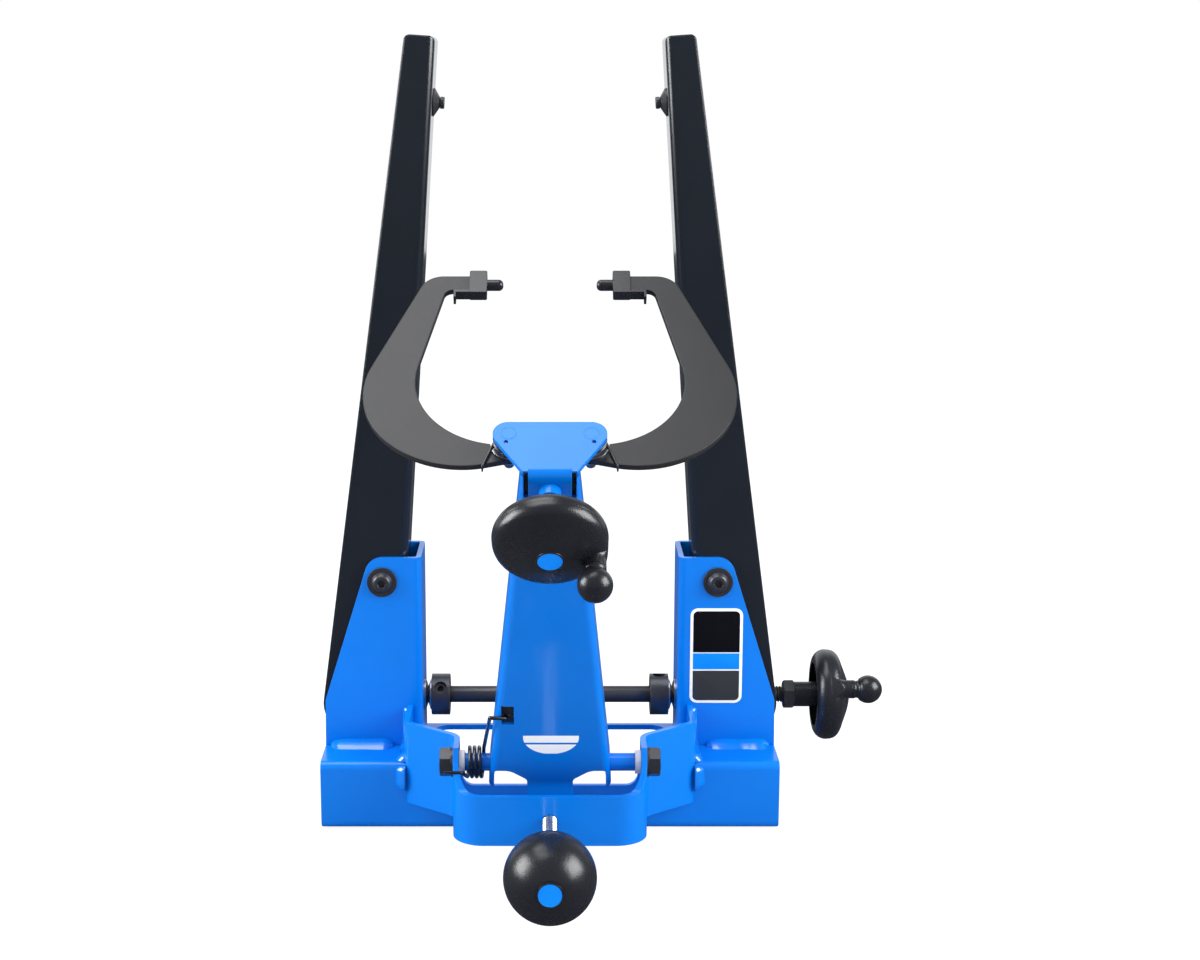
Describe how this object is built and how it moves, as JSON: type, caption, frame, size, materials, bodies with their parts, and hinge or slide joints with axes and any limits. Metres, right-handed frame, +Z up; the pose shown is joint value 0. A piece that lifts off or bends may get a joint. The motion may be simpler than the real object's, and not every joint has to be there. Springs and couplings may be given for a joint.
{
  "type": "bicycle wheel truing stand",
  "caption": "Bench truing stand for bicycle wheels: leaning uprights opened by a cranked cross rod, and a tilting arm with sprung calipers.",
  "frame": {"origin": "centre of the four bench holes, on the underside of the feet", "axes": "+Z up, -Y to the front where the nose and the caliper arm are, +X to the crank"},
  "size_m": [0.373, 0.3621, 0.5101],
  "materials": {
    "blue_paint": "gloss powder coat",
    "black_paint": "satin powder coat",
    "zinc_steel": "zinc plated",
    "black_oxide": "black oxide",
    "chrome_plate": "chrome plated",
    "black_plastic": "fine pebbled black",
    "nylon": "natural nylon",
    "spring_steel": "black spring steel"
  },
  "bodies": {
    "stand": {"base_deck": "blue_paint", "nose_strap": "blue_paint", "bracket_left": "blue_paint", "bracket_right": "blue_paint", "height_nut": "blue_paint", "pivot_bolts": "black_oxide", "pivot_washers": "black_oxide", "pivot_sleeves": "zinc_steel", "pivot_shims": "nylon", "pivot_nuts": "zinc_steel", "arm_bolts": "black_oxide", "arm_spacers": "nylon"},
    "left_upright": {"upright_left": "black_paint", "axle_cone_left": "black_oxide", "cone_nut_left": "zinc_steel"},
    "right_upright": {"upright_right": "black_paint", "axle_cone_right": "black_oxide", "cone_nut_right": "zinc_steel"},
    "left_cross_nut": {"trunnion_left": "zinc_steel"},
    "right_cross_nut": {"trunnion_right": "zinc_steel"},
    "crank": {"cross_rod": "black_oxide", "rod_collars": "black_oxide", "collar_screws": "black_oxide", "spring_washers": "zinc_steel", "crank_jam_nut": "black_oxide", "crank_knob": "black_plastic", "crank_grip_pin": "zinc_steel"},
    "crank_grip": {"crank_grip": "black_plastic"},
    "height_push": {"height_pad": "black_oxide"},
    "height_drive": {"height_screw": "chrome_plate", "height_knob": "black_plastic"},
    "arm": {"caliper_arm": "blue_paint", "arm_tube": "blue_paint", "screw_boss": "blue_paint", "caliper_studs": "zinc_steel", "caliper_washers": "zinc_steel", "caliper_nuts": "zinc_steel", "tilt_spring": "spring_steel", "caliper_spring_left": "spring_steel", "caliper_spring_right": "spring_steel"},
    "spread_push": {"spread_pad": "black_plastic"},
    "spread_drive": {"spread_screw": "zinc_steel", "spread_knob": "black_plastic", "spread_grip_pin": "zinc_steel"},
    "spread_grip": {"spread_grip": "black_plastic"},
    "left_caliper": {"caliper_left": "black_paint", "finger_tip_left": "black_plastic"},
    "right_caliper": {"caliper_right": "black_paint", "finger_tip_right": "black_plastic"}
  },
  "joints": [
    {"name": "crank_turn", "type": "hinge", "parent": "stand", "child": "crank", "pos_m": [0, 0.0179, 0.073], "axis": [1, 0, 0], "range_deg": [-1985.7, 1837.5]},
    {"name": "right_cross_nut_slide", "type": "slide", "parent": "stand", "child": "right_cross_nut", "axis": [1, 0, 0], "range_m": [-0.00935, 0.01011]},
    {"name": "left_cross_nut_slide", "type": "slide", "parent": "stand", "child": "left_cross_nut", "axis": [-1, 0, 0], "range_m": [-0.00935, 0.01011]},
    {"name": "right_upright_swing", "type": "hinge", "parent": "stand", "child": "right_upright", "pos_m": [0.1106, 0.0179, 0.1578], "axis": [0, 1, 0], "range_deg": [-6.77, 6.26]},
    {"name": "left_upright_swing", "type": "hinge", "parent": "stand", "child": "left_upright", "pos_m": [-0.1106, 0.0179, 0.1578], "axis": [0, -1, 0], "range_deg": [-6.77, 6.26]},
    {"name": "crank_grip_spin", "type": "hinge", "parent": "crank", "child": "crank_grip", "pos_m": [0.205, -0.00376, 0.0831], "axis": [1, 0, 0], "continuous": true},
    {"name": "height_turn", "type": "hinge", "parent": "height_push", "child": "height_drive", "pos_m": [0, -0.15, 0.034], "axis": [0, 1, 0], "range_deg": [-454.4, 3067]},
    {"name": "height_slide", "type": "slide", "parent": "stand", "child": "height_push", "axis": [0, 1, 0], "range_m": [-0.00202, 0.01366]},
    {"name": "arm_tilt", "type": "hinge", "parent": "stand", "child": "arm", "pos_m": [0, -0.0882, 0.062], "axis": [1, 0, 0], "range_deg": [-4.04, 27.27], "deforming": ["tilt_spring"]},
    {"name": "spread_turn", "type": "hinge", "parent": "spread_push", "child": "spread_drive", "pos_m": [0, -0.26055, 0.2652], "axis": [0, 0.809, 0.5878], "range_deg": [-924.9, 804.2]},
    {"name": "spread_slide", "type": "slide", "parent": "arm", "child": "spread_push", "axis": [0, 0.809, 0.5878], "range_m": [-0.00324, 0.00282]},
    {"name": "spread_grip_spin", "type": "hinge", "parent": "spread_drive", "child": "spread_grip", "pos_m": [0.02297, -0.29754, 0.23019], "axis": [0, 0.809, 0.5878], "continuous": true},
    {"name": "right_caliper_swing", "type": "hinge", "parent": "arm", "child": "right_caliper", "pos_m": [0.0221, -0.228, 0.28675], "axis": [0, 0.5878, -0.809], "range_deg": [-11.62, 10.1], "deforming": ["caliper_spring_right"]},
    {"name": "left_caliper_swing", "type": "hinge", "parent": "arm", "child": "left_caliper", "pos_m": [-0.0221, -0.228, 0.28675], "axis": [0, -0.5878, 0.809], "range_deg": [-11.62, 10.1], "deforming": ["caliper_spring_left"]}
  ],
  "couplings": [
    {"joint": "right_cross_nut_slide", "follows": "crank_turn", "m_per_rad": -0.00028875},
    {"joint": "left_cross_nut_slide", "follows": "crank_turn", "m_per_rad": -0.00028875},
    {"joint": "right_upright_swing", "follows": "crank_turn", "ratio": 0.0033741},
    {"joint": "left_upright_swing", "follows": "crank_turn", "ratio": 0.0033741},
    {"joint": "height_slide", "follows": "height_turn", "m_per_rad": 0.00025266},
    {"joint": "arm_tilt", "follows": "height_turn", "ratio": 0.0088034},
    {"joint": "spread_slide", "follows": "spread_turn", "m_per_rad": 0.00019894},
    {"joint": "right_caliper_swing", "follows": "spread_turn", "ratio": 0.012434},
    {"joint": "left_caliper_swing", "follows": "spread_turn", "ratio": 0.012434}
  ]
}
